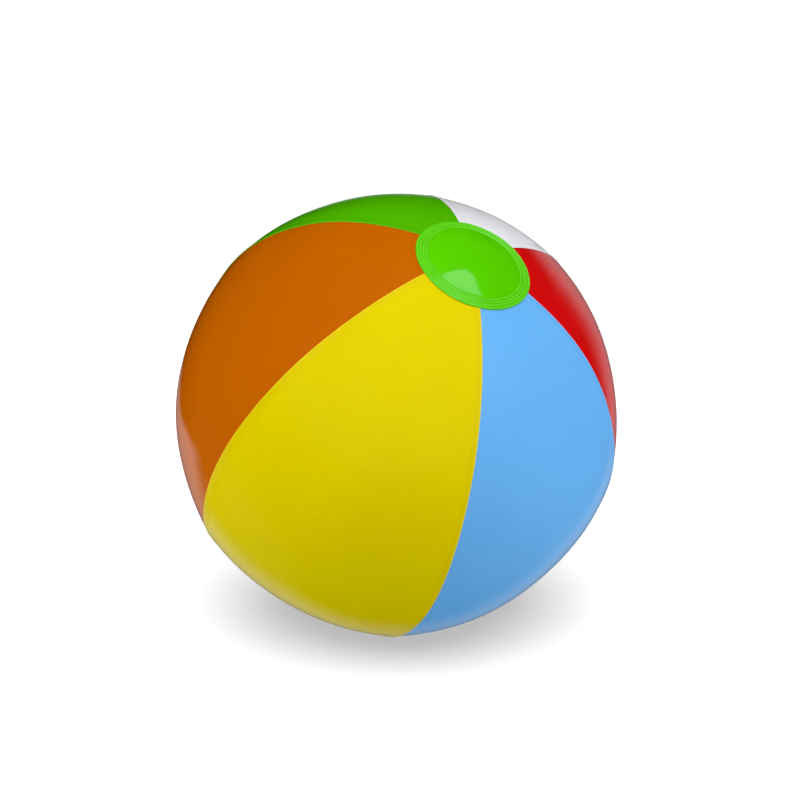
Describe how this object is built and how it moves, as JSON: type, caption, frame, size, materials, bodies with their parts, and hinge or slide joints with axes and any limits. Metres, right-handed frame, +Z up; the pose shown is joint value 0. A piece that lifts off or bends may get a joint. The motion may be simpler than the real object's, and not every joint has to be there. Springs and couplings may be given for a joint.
{
  "type": "inflatable beach ball",
  "caption": "Round inflatable ball of coloured film panels with end caps and a push-in mouth valve that has a plug and a check flap.",
  "frame": {"origin": "the centre of the inflated ball", "axes": "+Z is up and -Z points at the ball's resting point. The ball lies on its side: the line from the bottom cap to the top cap leans 43.5 degrees from +Z towards -Y. The valve faces +Y, a little down and towards -X."},
  "size_m": [0.3554, 0.3558, 0.3557],
  "materials": {
    "white_film": "glossy calendered PVC film, smooth, welded at the seams",
    "green_film": "glossy calendered PVC film, smooth, welded at the seams",
    "orange_film": "glossy calendered PVC film, smooth, welded at the seams",
    "yellow_film": "glossy calendered PVC film, smooth, welded at the seams",
    "blue_film": "glossy calendered PVC film, smooth, welded at the seams",
    "red_film": "glossy calendered PVC film, smooth, welded at the seams",
    "valve_pvc": "soft moulded PVC, milky and slightly clear"
  },
  "bodies": {
    "ball": {"panel_white": "white_film", "panel_green": "green_film", "panel_orange": "orange_film", "panel_yellow": "yellow_film", "panel_blue": "blue_film", "panel_red": "red_film", "top_cap": "green_film", "bottom_cap": "green_film", "valve_flange": "valve_pvc", "valve_web": "valve_pvc"},
    "mouthpiece": {"valve_stem": "valve_pvc", "valve_strap": "valve_pvc"},
    "plug": {"valve_plug": "valve_pvc"},
    "flap": {"check_flap": "valve_pvc"}
  },
  "joints": [
    {"name": "valve_push", "type": "slide", "parent": "ball", "child": "mouthpiece", "axis": [-0.2061, 0.969, -0.1366], "range_m": [0, 0.011], "deforming": ["valve_web"]},
    {"name": "plug_swing", "type": "hinge", "parent": "mouthpiece", "child": "plug", "pos_m": [-0.03421, 0.17262, -0.03508], "axis": [-0.9472, -0.2326, -0.2207], "range_deg": [0, 130], "deforming": ["valve_strap"]},
    {"name": "flap_open", "type": "hinge", "parent": "mouthpiece", "child": "flap", "pos_m": [-0.03306, 0.16068, -0.02744], "axis": [0.9472, 0.2326, 0.2207], "range_deg": [0, 60], "stiffness_Nm_per_rad": 0.00002}
  ]
}
